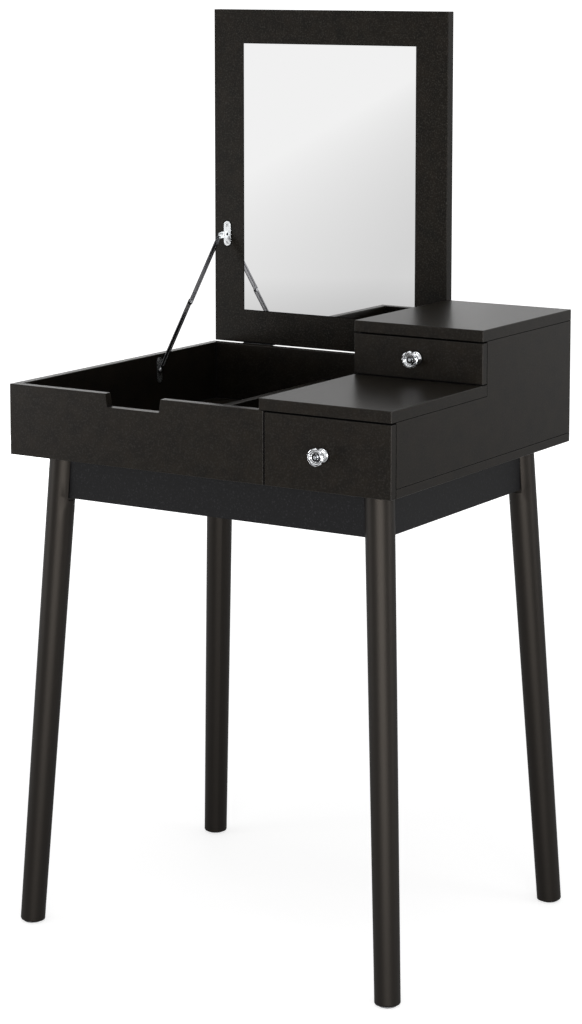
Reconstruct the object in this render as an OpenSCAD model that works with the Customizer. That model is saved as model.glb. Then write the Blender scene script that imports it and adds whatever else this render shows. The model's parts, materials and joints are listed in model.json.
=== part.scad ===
// Flip top vanity table, standing open.
// A boxy case stands on an apron frame with four splayed round legs. The left half of the case
// is an open bay under a lid that carries a mirror; the right half holds a drawer under a low
// top, with a raised box and a second, smaller drawer behind it.
//
// Millimetres. +X is to the right, -Y is to the front, +Z is up. The origin is on the floor,
// under the middle of the table's outline with the lid open.

/* [Case] */
// Width of the case
case_w = 580; // [500:1:700]
// Depth of the case, from the front faces to the back
case_d = 480; // [440:1:560]
// Height of the lower top above the floor
top_h = 750; // [650:1:900]
// Clear height of the bay under the rim
bay_h = 82; // [78:1:110]
// Thickness of the sides, fronts, back and bottom
board_t = 12; // [11:0.5:16]
// Thickness of the two tops
top_t = 15; // [12:0.5:20]
// Thickness of the divider between the bay and the drawer
divider_t = 15; // [12:0.5:20]
// Width of the lower top
slab_w = 190; // [165:1:230]
// Chamfer that breaks the edges of the boards
edge = 0.6; // [0.2:0.1:1.2]
// Gap beside and above the fronts
front_gap = 2; // [1:0.5:4]

/* [Bay] */
// Height of the low divider on the bay's floor
tray_h = 42; // [20:1:60]
// Width of the finger notch at the rim
notch_w = 87; // [60:1:120]
// Width of the finger notch at its bottom
notch_floor_w = 82; // [50:1:110]
// Depth of the finger notch
notch_depth = 17.5; // [10:0.5:25]

/* [Rear box] */
// Depth of the raised box, from its front face to the back
box_d = 250; // [220:1:300]
// Clear height between the two tops
box_h = 56; // [50:1:90]

/* [Lid and mirror] */
// Depth of the closed lid beyond the depth of the case, at the front
lid_lip = 2; // [0:0.5:10]
// Gap between the closed lid and the lower top
lid_gap = 4; // [2:0.5:8]
// Thickness of the lid
lid_t = 15; // [12:0.5:20]
// Width of the mirror
mirror_w = 285; // [220:1:320]
// Height of the mirror
mirror_h = 386; // [300:1:400]
// Thickness of the mirror glass
glass_t = 4; // [3:0.5:5]
// Thickness of the tape behind the glass
tape_t = 0.6; // [0.5:0.1:1]
// How far the glass lies below the face of the lid
glass_inset = 0.4; // [0.2:0.1:1]
// Gap between the glass and its recess
glass_gap = 0.5; // [0.3:0.1:1]

/* [Hinges] */
// Distance of the hinge axis behind the back
hinge_out = 2.2; // [2.1:0.1:4]
// Distance of the hinge axis below the underside of the closed lid
hinge_drop = 2; // [0:0.1:2]
// Clearance under the closed lid
lid_clear = 0.3; // [0.2:0.1:1]
// Length of a hinge
hinge_l = 50; // [40:1:70]
// Distance from the lid's ends to the middle of each hinge
hinge_inset = 75; // [50:1:100]
// Width of a hinge leaf
leaf_w = 14; // [12:0.5:14.5]
// Thickness of a hinge leaf
leaf_t = 1.2; // [1:0.1:1.5]
// Radius of the hinge knuckles
knuckle_r = 1.9; // [1.7:0.1:1.9]
// Radius of the hinge pins
pin_r = 1; // [0.9:0.1:1.1]

/* [Lid stay] */
// Height of the upper pivot above the hinge axis, lid open
stay_up = 158; // [120:1:180]
// Distance of the upper pivot in front of the lid, lid open
stay_out = 11; // [9:0.5:14]
// Distance between the two end pivots with the lid shut
stay_drop = 12; // [11:0.5:16]
// Width of the stay arms
arm_w = 8.5; // [7:0.5:10]
// Thickness of the stay arms
arm_t = 1.2; // [1:0.1:1.5]
// Clearance between the layers of the stay
stay_gap = 0.2; // [0.15:0.05:0.3]
// Length of the bracket plates
plate_l = 36; // [32:1:40]
// Width of the bracket plates
plate_w = 11.7; // [10:0.1:14]
// Radius of the stay rivets
rivet_r = 2; // [1.5:0.1:2.5]

/* [Legs and aprons] */
// Distance of the leg's axis from the side of the case, at the top
leg_inset_x = 48; // [44:1:70]
// Distance of the leg's axis from the front or back of the case, at the top
leg_inset_y = 54; // [46:1:70]
// How far each foot is splayed, both sideways and endways
leg_splay = 35.3; // [0:0.1:60]
// Diameter of the legs at the top
leg_top_d = 38; // [36:0.5:46]
// Diameter of the legs at the bottom
leg_foot_d = 33; // [26:0.5:40]
// Distance from the leg's axis to the flats for the aprons
leg_flat = 17; // [15.5:0.1:17.8]
// Height of the aprons
apron_h = 60; // [50:1:90]
// Thickness of the aprons
apron_t = 15; // [12:0.5:18]
// Thickness of the glides under the legs
glide_t = 2.5; // [2:0.5:5]
// Diameter of the glides
glide_d = 24; // [18:0.5:26]
// Distance of the corner brackets from the corner of the aprons
bracket_s = 28; // [24:1:40]
// Diameter of the leg bolts
bolt_d = 6; // [5:0.5:8]

/* [Drawers] */
// Thickness of the drawer sides and backs
side_t = 10; // [8:0.5:12]
// Thickness of the drawer bottoms
bottom_t = 4; // [3:0.5:5]
// Length of the lower drawer's box
lower_box_l = 400; // [300:5:400]
// Length of the upper drawer's box
upper_box_l = 212; // [150:1:212]
// Space for a runner on each side of the lower drawer
runner_w = 11; // [10:0.5:14]
// Length of the runners
runner_l = 350; // [250:5:380]
// Height of the runner rails
rail_h = 13.6; // [10:0.1:16]
// Gap between a drawer's front and the case behind it, drawer shut
back_gap = 1; // [0.3:0.1:2]
// Running clearance of the drawers
run_gap = 0.3; // [0.2:0.1:1]
// Distance of the knobs from the right side of the case
knob_side = 97.5; // [70:0.5:120]
// Diameter of the faceted crystals
crystal_d = 23; // [18:0.5:30]
// Height of the metal base under each crystal
knob_base_h = 8; // [7:0.5:12]
// How far the knobs stand out
knob_out = 22; // [20:0.5:32]

/* [Fasteners] */
// Diameter of the wooden dowels
dowel_d = 6; // [5:0.5:8]
// Depth of a dowel in each board
dowel_depth = 8; // [6:0.5:9]
// Diameter of the case screws
case_screw_d = 4; // [3:0.5:5]
// Length of the case screws
case_screw_l = 38; // [25:1:50]
// Diameter of the small hardware screws
screw_d = 3; // [2.5:0.1:3.5]
// Length of the small hardware screws
screw_l = 10; // [8:0.5:10.5]

/* [Hidden] */
// Clearance round a fastener in its hole, and of a pin in its bore
fit = 0.05;
// Allowance that carries a cut past a face
eps = 1;

// Planes of the case, from left to right
left_x = -case_w / 2;
right_x = case_w / 2;
bay_left_x = left_x + board_t;
slab_x = right_x - slab_w;
drawer_left_x = slab_x + divider_t;
drawer_right_x = right_x - board_t;
front_split_x = slab_x + divider_t / 2;
tray_x = (bay_left_x + slab_x) / 2;

// Planes of the case, from front to back
front_y = (knob_out - case_d - hinge_out - hinge_drop - lid_t) / 2;
back_y = front_y + case_d;
mid_y = (front_y + back_y) / 2;
carcass_y = front_y + board_t;
inner_back_y = back_y - board_t;
box_front_y = back_y - box_d;
box_carcass_y = box_front_y + board_t;

// Planes of the case, from bottom to top
rim_z = top_h - top_t;
floor_z = rim_z - bay_h;
under_z = floor_z - board_t;
box_top_z = top_h + box_h;

// Lid, hinge axis and mirror, lid open
hinge_y = back_y + hinge_out;
hinge_z = rim_z + lid_clear - hinge_drop;
lid_y = hinge_y + hinge_drop;
lid_w = case_w - slab_w - lid_gap;
lid_right_x = left_x + lid_w;
lid_z0 = hinge_z + hinge_out;
lid_z1 = lid_z0 + case_d + lid_lip;
lid_mid_x = left_x + lid_w / 2;
lid_mid_z = (lid_z0 + lid_z1) / 2;
recess_depth = glass_inset + glass_t + tape_t;
hinge_xs = [left_x + hinge_inset, lid_right_x - hinge_inset];
knuckle_l = hinge_l / 3;

// Stay: layers from the left side of the bay inwards, and pivots as [y, z]
stay_plate_t = 1;
base_plate_x = bay_left_x;
lower_arm_x = base_plate_x + stay_plate_t + 2 * stay_gap;
upper_arm_x = lower_arm_x + arm_t + stay_gap;
ear_x = upper_arm_x + arm_t + stay_gap;
lid_pivot = [lid_y - stay_out, hinge_z + stay_up];
base_pivot = [hinge_y - stay_up, rim_z + lid_clear - stay_out - stay_drop];
mid_pivot = (lid_pivot + base_pivot) / 2;
arm_l = norm(lid_pivot - base_pivot) / 2;
arm_angle = atan2(lid_pivot[1] - base_pivot[1], lid_pivot[0] - base_pivot[0]);
lid_plate_z = lid_pivot[1] + 2;
plate_screw = plate_l / 2 - 5.5;

// Legs and aprons
apron_z = under_z - apron_h;
bolt_z = under_z - apron_h / 2;
leg_tilt = atan(leg_splay * sqrt(2) / under_z);
leg_l = under_z / cos(leg_tilt);
apron_gap = 0.3;
// The four corners, each as [sign of x, sign of y, heading of the inward diagonal]
CORNERS = [[-1, -1, 45], [1, -1, 135], [1, 1, -135], [-1, 1, -45]];
function leg_run(z) = leg_splay * (under_z - z) / under_z;
function leg_x(z) = case_w / 2 - leg_inset_x + leg_run(z);
function leg_y(z) = case_d / 2 - leg_inset_y + leg_run(z);
apron_x = leg_x(bolt_z);
apron_y = leg_y(bolt_z);
bracket_t = 2;
bracket_h = 36;
bracket_flange = 26;
bracket_u = apron_t / sqrt(2) + bracket_s;
nut_h = 6;

// Drawer boxes as [low corner, high corner]
lower_box = [[drawer_left_x + runner_w, carcass_y, floor_z + 6],
             [drawer_right_x - runner_w, carcass_y + lower_box_l, rim_z - 8]];
upper_box = [[slab_x + board_t + 1, box_carcass_y, top_h + run_gap],
             [drawer_right_x - 1, box_carcass_y + upper_box_l, box_top_z - 9]];
groove_z = 5;
groove_depth = 4;
lower_knob = [right_x - knob_side, (under_z + rim_z - front_gap) / 2];
upper_knob = [right_x - knob_side, (top_h + box_top_z) / 2];
runner_z = (lower_box[0].z + lower_box[1].z) / 2;
runner_y = carcass_y + 8;
channel_t = 1.2;
knob_screw_d = 4;
front_dowel_r = 2.5;

// Directions of a peg, as rotations of the Z axis
ALONG_X = [0, 90, 0];
ALONG_Y = [90, 0, 0];
ALONG_Z = [0, 0, 0];
// Headings of a screw, as rotations of one that points down
INTO_LEFT = [0, 90, 0];
INTO_RIGHT = [0, -90, 0];
INTO_FRONT = [-90, 0, 0];
INTO_BACK = [90, 0, 0];
INTO_TOP = [180, 0, 0];

// Wooden dowels of the case, each as [middle, direction]
CASE_DOWELS = concat(
    [for (z = [floor_z + bay_h / 4, floor_z + bay_h * 3 / 4])
        [[left_x + board_t / 2, carcass_y, z], ALONG_Y]],
    [for (x = [left_x + case_w / 8, tray_x + 60, slab_x - 20])
        [[x, carcass_y, under_z + board_t / 2], ALONG_Y]],
    [[[tray_x, carcass_y, floor_z + tray_h / 2], ALONG_Y]],
    [for (x = [bay_left_x, drawer_right_x]) for (z = [floor_z + bay_h / 4, floor_z + bay_h * 3 / 4])
        [[x, back_y - board_t / 2, z], ALONG_X]],
    [for (y = [front_y + 60, inner_back_y - 60]) [[slab_x + divider_t / 2, y, rim_z], ALONG_Z]],
    [for (y = [front_y + 60, box_front_y - 40]) [[right_x - board_t / 2, y, rim_z], ALONG_Z]],
    [for (y = [box_carcass_y + 50, inner_back_y - 40]) for (z = [top_h, box_top_z])
        [[slab_x + board_t / 2, y, z], ALONG_Z]],
    [for (y = [box_carcass_y + 50, inner_back_y - 40])
        [[right_x - board_t / 2, y, box_top_z], ALONG_Z]]);

// Wooden dowels between the aprons and the bottom board
APRON_DOWELS = concat(
    [for (sx = [-1, 1]) for (sy = [-1, 1]) [[sx * case_w / 5, mid_y + sy * apron_y, under_z], ALONG_Z]],
    [for (sx = [-1, 1]) for (sy = [-1, 1]) [[sx * apron_x, mid_y + sy * case_d / 6, under_z], ALONG_Z]]);

// Case screws, driven up through the bottom board
CASE_SCREWS = concat(
    [for (x = [left_x + board_t / 2, slab_x + divider_t / 2, right_x - board_t / 2])
        for (y = [front_y + 90, mid_y, back_y - 90]) [x, y, under_z]],
    [for (x = [left_x + case_w / 5, tray_x + 60, right_x - case_w / 5])
        [x, back_y - board_t / 2, under_z]]);

// Small screws of the case, each as [top of the head, heading]
HARDWARE_CASE = concat(
    [for (x = hinge_xs) for (s = [-1, 1])
        [[x + s * hinge_l / 3, back_y + leaf_t, hinge_z - leaf_w / 2 - 1], INTO_FRONT]],
    [for (s = [-1, 1])
        [[base_plate_x + stay_plate_t, base_pivot[0], base_pivot[1] + s * plate_screw], INTO_LEFT]],
    [for (y = [runner_y + 30, runner_y + runner_l - 30])
        [[drawer_left_x + channel_t, y, runner_z], INTO_LEFT]],
    [for (y = [runner_y + 30, runner_y + runner_l - 30])
        [[drawer_right_x - channel_t, y, runner_z], INTO_RIGHT]]);

// Small screws of the lid, each as [top of the head, heading]
HARDWARE_LID = concat(
    [for (x = hinge_xs) for (s = [-1, 1])
        [[x + s * hinge_l / 3, hinge_y + leaf_w / 2 + 1, lid_z0 - leaf_t], INTO_TOP]],
    [for (s = [-1, 1])
        [[ear_x + plate_w / 2, lid_y - stay_plate_t, lid_plate_z + s * plate_screw], INTO_BACK]]);

// ---- Colours ----

module black_board() color([0.15, 0.145, 0.135]) children();
module black_wood() color([0.16, 0.155, 0.15]) children();
module raw_wood() color([0.72, 0.6, 0.42]) children();
module zinc() color([0.8, 0.81, 0.82]) children();
module dark_steel() color([0.3, 0.3, 0.3]) children();

// ---- Shared shapes ----

// A rectangle from the origin with its corners cut off
module cut_rectangle(w, h, c)
    polygon([[c, 0], [w - c, 0], [w, c], [w, h - c], [w - c, h], [c, h], [0, h - c], [0, c]]);

// A board between two corners, with all its edges broken
module board(low, high, c = edge) {
    s = high - low;
    translate(low) intersection() {
        linear_extrude(s.z) cut_rectangle(s.x, s.y, c);
        translate([0, s.y, 0]) rotate([90, 0, 0]) linear_extrude(s.y) cut_rectangle(s.x, s.z, c);
        rotate([90, 0, 90]) linear_extrude(s.x) cut_rectangle(s.y, s.z, c);
    }
}

// A plain block between two corners
module block(low, high) translate(low) cube(high - low);

// Round pegs at a list of [middle, direction]
module pegs(places, r, half) {
    for (p = places)
        translate(p[0]) rotate(p[1]) cylinder(h = 2 * half, r = r, center = true, $fn = 32);
}

// A strip with round ends, from the origin along +X
module round_strip(length, width) {
    translate([0, -width / 2]) square([length, width]);
    circle(d = width, $fn = 48);
    translate([length, 0]) circle(d = width, $fn = 48);
}

// The shape of a countersunk screw, pointing down from its head at the origin
module screw_form(d, length, grow = 0) {
    rotate_extrude($fn = 32) polygon([[0, 0], [d + grow, 0], [d / 2 + grow, -d / 2],
        [d / 2 + grow, -length - grow], [0, -length - grow]]);
}

// A small countersunk screw with a cross recess
module small_screw() {
    difference() {
        screw_form(screw_d, screw_l);
        for (a = [0, 90])
            rotate([0, 0, a]) translate([-screw_d * 0.6, -0.35, -0.8]) cube([screw_d * 1.2, 0.7, 2]);
    }
}

module small_screws(places) {
    for (p = places) translate(p[0]) rotate(p[1]) small_screw();
}

module small_screw_cuts(places) {
    for (p = places) translate(p[0]) rotate(p[1]) screw_form(screw_d, screw_l, fit);
}

module case_screw_cuts() {
    for (p = CASE_SCREWS)
        translate(p) rotate(INTO_TOP) screw_form(case_screw_d, case_screw_l, fit);
}

// The holes that the case's boards share
module case_cuts() {
    pegs(CASE_DOWELS, dowel_d / 2 + fit, dowel_depth + fit);
    case_screw_cuts();
}

// ---- Case ----

module bottom_board() black_board() difference() {
    board([left_x, carcass_y, under_z], [right_x, back_y, floor_z]);
    case_cuts();
    pegs(APRON_DOWELS, dowel_d / 2 + fit, dowel_depth + fit);
}

module left_side_panel() black_board() difference() {
    board([left_x, carcass_y, floor_z], [bay_left_x, back_y, rim_z]);
    case_cuts();
    small_screw_cuts(HARDWARE_CASE);
}

// L-shaped: its rear part rises beside the raised box
module right_side_panel() black_board() difference() {
    union() {
        board([drawer_right_x, carcass_y, floor_z], [right_x, back_y, rim_z]);
        board([drawer_right_x, box_carcass_y, floor_z], [right_x, back_y, box_top_z]);
    }
    case_cuts();
    small_screw_cuts(HARDWARE_CASE);
}

module divider_panel() black_board() difference() {
    board([slab_x, carcass_y, floor_z], [drawer_left_x, inner_back_y, rim_z]);
    case_cuts();
    small_screw_cuts(HARDWARE_CASE);
}

// L-shaped: its right part also closes the raised box
module back_panel() black_board() difference() {
    union() {
        board([bay_left_x, inner_back_y, floor_z], [drawer_right_x, back_y, rim_z]);
        board([slab_x, inner_back_y, floor_z], [drawer_right_x, back_y, box_top_z]);
    }
    case_cuts();
    small_screw_cuts(HARDWARE_CASE);
}

// The fixed front of the bay, with a finger notch in its upper edge
module front_left_panel() black_board() difference() {
    board([left_x, front_y, under_z], [front_split_x - front_gap / 2, carcass_y, rim_z]);
    translate([(left_x + front_split_x - front_gap / 2) / 2, carcass_y + eps, rim_z])
        rotate([90, 0, 0]) linear_extrude(board_t + 2 * eps)
            polygon([[-notch_w / 2, eps], [-notch_w / 2, 0], [-notch_floor_w / 2, -notch_depth],
                [notch_floor_w / 2, -notch_depth], [notch_w / 2, 0], [notch_w / 2, eps]]);
    case_cuts();
}

module tray_divider() black_board() difference() {
    board([tray_x - board_t / 2, carcass_y, floor_z],
        [tray_x + board_t / 2, inner_back_y, floor_z + tray_h]);
    case_cuts();
}

// Notched at the right rear, round the riser of the right side
module lower_top() black_board() difference() {
    union() {
        board([slab_x, front_y, rim_z], [right_x, box_carcass_y, top_h]);
        board([slab_x, front_y, rim_z], [drawer_right_x, inner_back_y, top_h]);
    }
    case_cuts();
}

module box_left_wall() black_board() difference() {
    board([slab_x, box_carcass_y, top_h], [slab_x + board_t, inner_back_y, box_top_z]);
    case_cuts();
}

module upper_top() black_board() difference() {
    board([slab_x, box_front_y, box_top_z], [right_x, back_y, box_top_z + top_t]);
    case_cuts();
}

module case_dowels() raw_wood() pegs(CASE_DOWELS, dowel_d / 2, dowel_depth);

module case_screws() zinc() {
    for (p = CASE_SCREWS) translate(p) rotate(INTO_TOP) screw_form(case_screw_d, case_screw_l);
}

// ---- Legs and aprons ----

// A wall of an apron: a board whose ends follow the slant of the legs
module apron_form(half_low, half_high) {
    translate([0, apron_t / 2, apron_z]) rotate([90, 0, 0]) linear_extrude(apron_t)
        polygon([[-half_low, 0], [half_low, 0], [half_high, apron_h], [-half_high, apron_h]]);
}

// Places something at the leg's axis, level with the bolt, with +X along the inward diagonal
module at_corner(c)
    translate([c[0] * apron_x, mid_y + c[1] * apron_y, bolt_z]) rotate([0, 0, c[2]]) children();

// The screws of one corner bracket, with their heads on its flanges
module at_bracket_screws() {
    reach = bracket_flange / 2 / sqrt(2);
    seat = bracket_t / sqrt(2);
    for (s = [-1, 1])
        translate([bracket_u + reach + seat, s * (bracket_s + reach - seat), 0])
            rotate([0, 90, s * 135]) rotate([180, 0, 0]) children();
}

module bracket_screw_cuts() {
    for (c = CORNERS) at_corner(c) at_bracket_screws() screw_form(screw_d, screw_l + 2, fit);
}

module apron_cuts() {
    bracket_screw_cuts();
    pegs(APRON_DOWELS, dowel_d / 2 + fit, dowel_depth + fit);
}

module apron_along_x(sy) {
    reach = leg_flat + apron_gap;
    difference() {
        translate([0, mid_y + sy * apron_y, 0])
            apron_form(leg_x(apron_z) - reach, leg_x(under_z) - reach);
        apron_cuts();
    }
}

module apron_along_y(sx) {
    reach = leg_flat + apron_gap;
    difference() {
        translate([sx * apron_x, mid_y, 0]) rotate([0, 0, 90])
            apron_form(leg_y(apron_z) - reach, leg_y(under_z) - reach);
        apron_cuts();
    }
}

module apron_front() black_board() apron_along_x(-1);
module apron_back() black_board() apron_along_x(1);
module apron_left() black_board() apron_along_y(-1);
module apron_right() black_board() apron_along_y(1);

// The bolt of one corner, along the inward diagonal
module leg_bolt_form(grow = 0) {
    buried = 8;
    reach = bracket_u + bracket_t + nut_h + 4;
    translate([-buried - grow, 0, 0]) rotate([0, 90, 0])
        cylinder(h = buried + reach + 2 * grow, d = bolt_d + 2 * grow, $fn = 48);
}

// Places something on the floor, under the foot of a leg
module at_foot(c) translate([c[0] * leg_x(0), mid_y + c[1] * leg_y(0), 0]) children();

// The nail of a glide stands straight up into the foot
module glide_nail(grow = 0) cylinder(h = 14 + grow, r = 1.5 + grow, $fn = 24);

// A turned leg that leans out along the diagonal, cut level at both ends
module leg(c) {
    start = glide_t - 1.4;
    chamfer = 3;
    top = leg_l + 4;
    taper = (leg_top_d - leg_foot_d) / 2 / leg_l;
    difference() {
        intersection() {
            at_foot(c) rotate([0, leg_tilt, c[2]]) difference() {
                rotate_extrude($fn = 96) polygon([[0, start], [leg_foot_d / 2 - chamfer, start],
                    [leg_foot_d / 2 - 0.8, start + chamfer * 0.45],
                    [leg_foot_d / 2, start + chamfer],
                    [leg_foot_d / 2 + taper * top, top], [0, top]]);
                for (a = [-45, 45])
                    rotate([0, 0, a])
                        translate([leg_flat, -leg_top_d, leg_l - (apron_h + 3) / cos(leg_tilt)])
                            cube([leg_top_d, 2 * leg_top_d, apron_h + 20]);
            }
            block([-case_w, -case_d, glide_t], [case_w, case_d, under_z]);
        }
        at_corner(c) leg_bolt_form(fit);
        at_foot(c) glide_nail(fit);
    }
}

module leg_front_left() black_wood() leg(CORNERS[0]);
module leg_front_right() black_wood() leg(CORNERS[1]);
module leg_rear_right() black_wood() leg(CORNERS[2]);
module leg_rear_left() black_wood() leg(CORNERS[3]);

module foot_glides() color([0.45, 0.45, 0.46]) {
    for (c = CORNERS) at_foot(c) {
        rotate_extrude($fn = 64) polygon([[0, 0], [glide_d / 2 - 0.8, 0], [glide_d / 2, 0.8],
            [glide_d / 2, glide_t], [0, glide_t]]);
        glide_nail();
    }
}

// A bent plate across each corner, with a flange on each apron
module corner_brackets() zinc() {
    f = bracket_flange / sqrt(2);
    t = bracket_t;
    u = bracket_u;
    s = bracket_s;
    half = [[u, s], [u + f, s + f], [u + f + t / sqrt(2), s + f - t / sqrt(2)],
        [u + t, s - t * (sqrt(2) - 1)]];
    outline = concat(half, [for (i = [3:-1:0]) [half[i][0], -half[i][1]]]);
    for (c = CORNERS) at_corner(c) difference() {
        translate([0, 0, -bracket_h / 2]) linear_extrude(bracket_h) polygon(outline);
        leg_bolt_form(fit);
        at_bracket_screws() screw_form(screw_d, screw_l + 2, fit);
    }
}

module leg_bolts() zinc() {
    for (c = CORNERS) at_corner(c) leg_bolt_form();
}

module leg_nuts() zinc() {
    for (c = CORNERS) at_corner(c) translate([bracket_u + bracket_t, 0, 0]) rotate([0, 90, 0])
        difference() {
            union() {
                cylinder(h = 1.4, d = bolt_d * 2.4, $fn = 48);
                cylinder(h = nut_h, d = bolt_d * 1.9, $fn = 6);
            }
            translate([0, 0, -eps]) cylinder(h = nut_h + 2 * eps, d = bolt_d + 2 * fit, $fn = 48);
        }
}

module bracket_screws() zinc() {
    for (c = CORNERS) at_corner(c) at_bracket_screws() screw_form(screw_d, screw_l + 2);
}

module apron_dowels() raw_wood() pegs(APRON_DOWELS, dowel_d / 2, dowel_depth);

// ---- Hinges ----

// A round bar along X at the hinge axis, between two distances from the middle of a hinge
module axis_bar(x, from, to, r)
    translate([x + from, hinge_y, hinge_z]) rotate([0, 90, 0])
        cylinder(h = to - from, r = r, $fn = 48);

// Fixed leaves on the back, with the outer knuckles
module hinge_case_leaves() dark_steel() {
    k = knuckle_l / 2;
    for (x = hinge_xs) difference() {
        union() {
            block([x - hinge_l / 2, back_y, hinge_z - leaf_w],
                [x + hinge_l / 2, back_y + leaf_t, hinge_z]);
            axis_bar(x, -hinge_l / 2, -k - 0.1, knuckle_r);
            axis_bar(x, k + 0.1, hinge_l / 2, knuckle_r);
        }
        axis_bar(x, -k - 0.1, k + 0.1, knuckle_r + 0.25);
        axis_bar(x, -hinge_l, hinge_l, pin_r + fit);
        small_screw_cuts(HARDWARE_CASE);
    }
}

// Moving leaves under the rear edge of the open lid, with the middle knuckle
module hinge_lid_leaves() dark_steel() {
    k = knuckle_l / 2;
    for (x = hinge_xs) difference() {
        union() {
            block([x - hinge_l / 2, hinge_y, lid_z0 - leaf_t],
                [x + hinge_l / 2, hinge_y + leaf_w, lid_z0]);
            axis_bar(x, -k + 0.1, k - 0.1, knuckle_r);
        }
        axis_bar(x, -hinge_l, -k + 0.1, knuckle_r + 0.25);
        axis_bar(x, k - 0.1, hinge_l, knuckle_r + 0.25);
        axis_bar(x, -hinge_l, hinge_l, pin_r + fit);
        small_screw_cuts(HARDWARE_LID);
    }
}

module hinge_pins() zinc() {
    for (x = hinge_xs) {
        axis_bar(x, -hinge_l / 2 - 0.2, hinge_l / 2 + 0.2, pin_r);
        axis_bar(x, -hinge_l / 2 - 1, -hinge_l / 2 - 0.2, pin_r + 0.7);
        axis_bar(x, hinge_l / 2 + 0.2, hinge_l / 2 + 1, pin_r + 0.7);
    }
}

module hardware_screws_case() zinc() small_screws(HARDWARE_CASE);
module hardware_screws_lid() zinc() small_screws(HARDWARE_LID);

// ---- Lid and mirror ----

module lid_board() black_board() difference() {
    board([left_x, lid_y, lid_z0], [lid_right_x, lid_y + lid_t, lid_z1]);
    block([lid_mid_x - mirror_w / 2 - glass_gap, lid_y - eps, lid_mid_z - mirror_h / 2 - glass_gap],
        [lid_mid_x + mirror_w / 2 + glass_gap, lid_y + recess_depth,
            lid_mid_z + mirror_h / 2 + glass_gap]);
    small_screw_cuts(HARDWARE_LID);
}

module mirror_glass() color([0.88, 0.9, 0.91]) {
    y = lid_y + glass_inset;
    board([lid_mid_x - mirror_w / 2, y, lid_mid_z - mirror_h / 2],
        [lid_mid_x + mirror_w / 2, y + glass_t, lid_mid_z + mirror_h / 2], 0.4);
}

// Three strips of double-sided tape
module mirror_tape() color([0.9, 0.9, 0.88]) {
    y = lid_y + glass_inset + glass_t;
    for (i = [-1, 0, 1]) {
        z = lid_mid_z + i * mirror_h * 0.38;
        block([lid_mid_x - mirror_w * 0.42, y, z - 10], [lid_mid_x + mirror_w * 0.42, y + tape_t, z + 10]);
    }
}

// ---- Lid stay ----

// Places something at a pivot [y, z], at a distance x, with +Z along X and +X along Y
module at_pivot(p, x) translate([x, p[0], p[1]]) rotate([90, 0, 90]) children();

// A stay arm from its own pivot towards the other, with a pressed groove on its inner face
module arm_form() {
    groove = 0.4;
    difference() {
        linear_extrude(arm_t) round_strip(arm_l, arm_w);
        for (s = [0, arm_l])
            translate([s, 0, -eps]) cylinder(h = arm_t + 2 * eps, r = rivet_r + fit, $fn = 32);
        translate([arm_w, 0, arm_t - groove])
            linear_extrude(eps) round_strip(arm_l - 2 * arm_w, arm_w / 3);
    }
}

// The lower arm goes from the base pivot up to the middle pivot
module stay_lower_arm() dark_steel()
    at_pivot(base_pivot, lower_arm_x) rotate([0, 0, arm_angle]) arm_form();

// The upper arm goes from the middle pivot up to the lid's pivot
module stay_upper_arm() dark_steel()
    at_pivot(mid_pivot, upper_arm_x) rotate([0, 0, arm_angle]) arm_form();

// The middle rivet holds both arms, with a head on each side
module stay_mid_rivet() zinc() at_pivot(mid_pivot, lower_arm_x) {
    stack = upper_arm_x + arm_t - lower_arm_x;
    cylinder(h = stack, r = rivet_r, $fn = 48);
    translate([0, 0, -0.6]) cylinder(h = 0.6, r = rivet_r + 1, $fn = 48);
    translate([0, 0, stack]) cylinder(h = 0.9, r1 = rivet_r + 1.4, r2 = rivet_r + 0.6, $fn = 48);
}

// The lid's rivet holds the upper arm to the ear of the lid bracket
module stay_lid_rivet() zinc() at_pivot(lid_pivot, upper_arm_x) {
    stack = ear_x + stay_plate_t - upper_arm_x;
    cylinder(h = stack, r = rivet_r, $fn = 48);
    translate([0, 0, stack]) cylinder(h = 0.9, r1 = rivet_r + 1.4, r2 = rivet_r + 0.6, $fn = 48);
}

// The base rivet closes the lower arm's end over the boss of the base bracket
module stay_base_rivet() zinc() at_pivot(base_pivot, lower_arm_x) {
    cylinder(h = arm_t, r = rivet_r, $fn = 48);
    translate([0, 0, arm_t]) cylinder(h = 0.8, r1 = rivet_r + 1.4, r2 = rivet_r + 0.6, $fn = 48);
}

// A flat plate with round ends on the side of the bay, with a low boss at the pivot
module stay_base_bracket() zinc() difference() {
    at_pivot(base_pivot, base_plate_x) {
        rotate([0, 0, 90]) translate([-(plate_l - plate_w) / 2, 0, 0])
            linear_extrude(stay_plate_t) round_strip(plate_l - plate_w, plate_w);
        cylinder(h = stay_plate_t + stay_gap, r = rivet_r + 2, $fn = 48);
    }
    small_screw_cuts(HARDWARE_CASE);
}

// A plate with round ends on the lid, with an ear that stands forward to the pivot
module stay_lid_bracket() zinc() difference() {
    union() {
        translate([ear_x + plate_w / 2, lid_y, lid_plate_z]) rotate([90, 90, 0])
            translate([-(plate_l - plate_w) / 2, 0, 0])
                linear_extrude(stay_plate_t) round_strip(plate_l - plate_w, plate_w);
        at_pivot(lid_pivot, ear_x) linear_extrude(stay_plate_t) union() {
            circle(r = 4.6, $fn = 48);
            translate([0, -4.6]) square([stay_out, 9.2]);
        }
    }
    at_pivot(lid_pivot, ear_x - eps) cylinder(h = 3 * eps, r = rivet_r + fit, $fn = 48);
    translate([ear_x + plate_w / 2, lid_y + eps, lid_plate_z - 1]) rotate([90, 0, 0])
        cylinder(h = 3 * eps, r = 1.7, $fn = 32);
    small_screw_cuts(HARDWARE_LID);
}

// ---- Drawers ----

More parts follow.
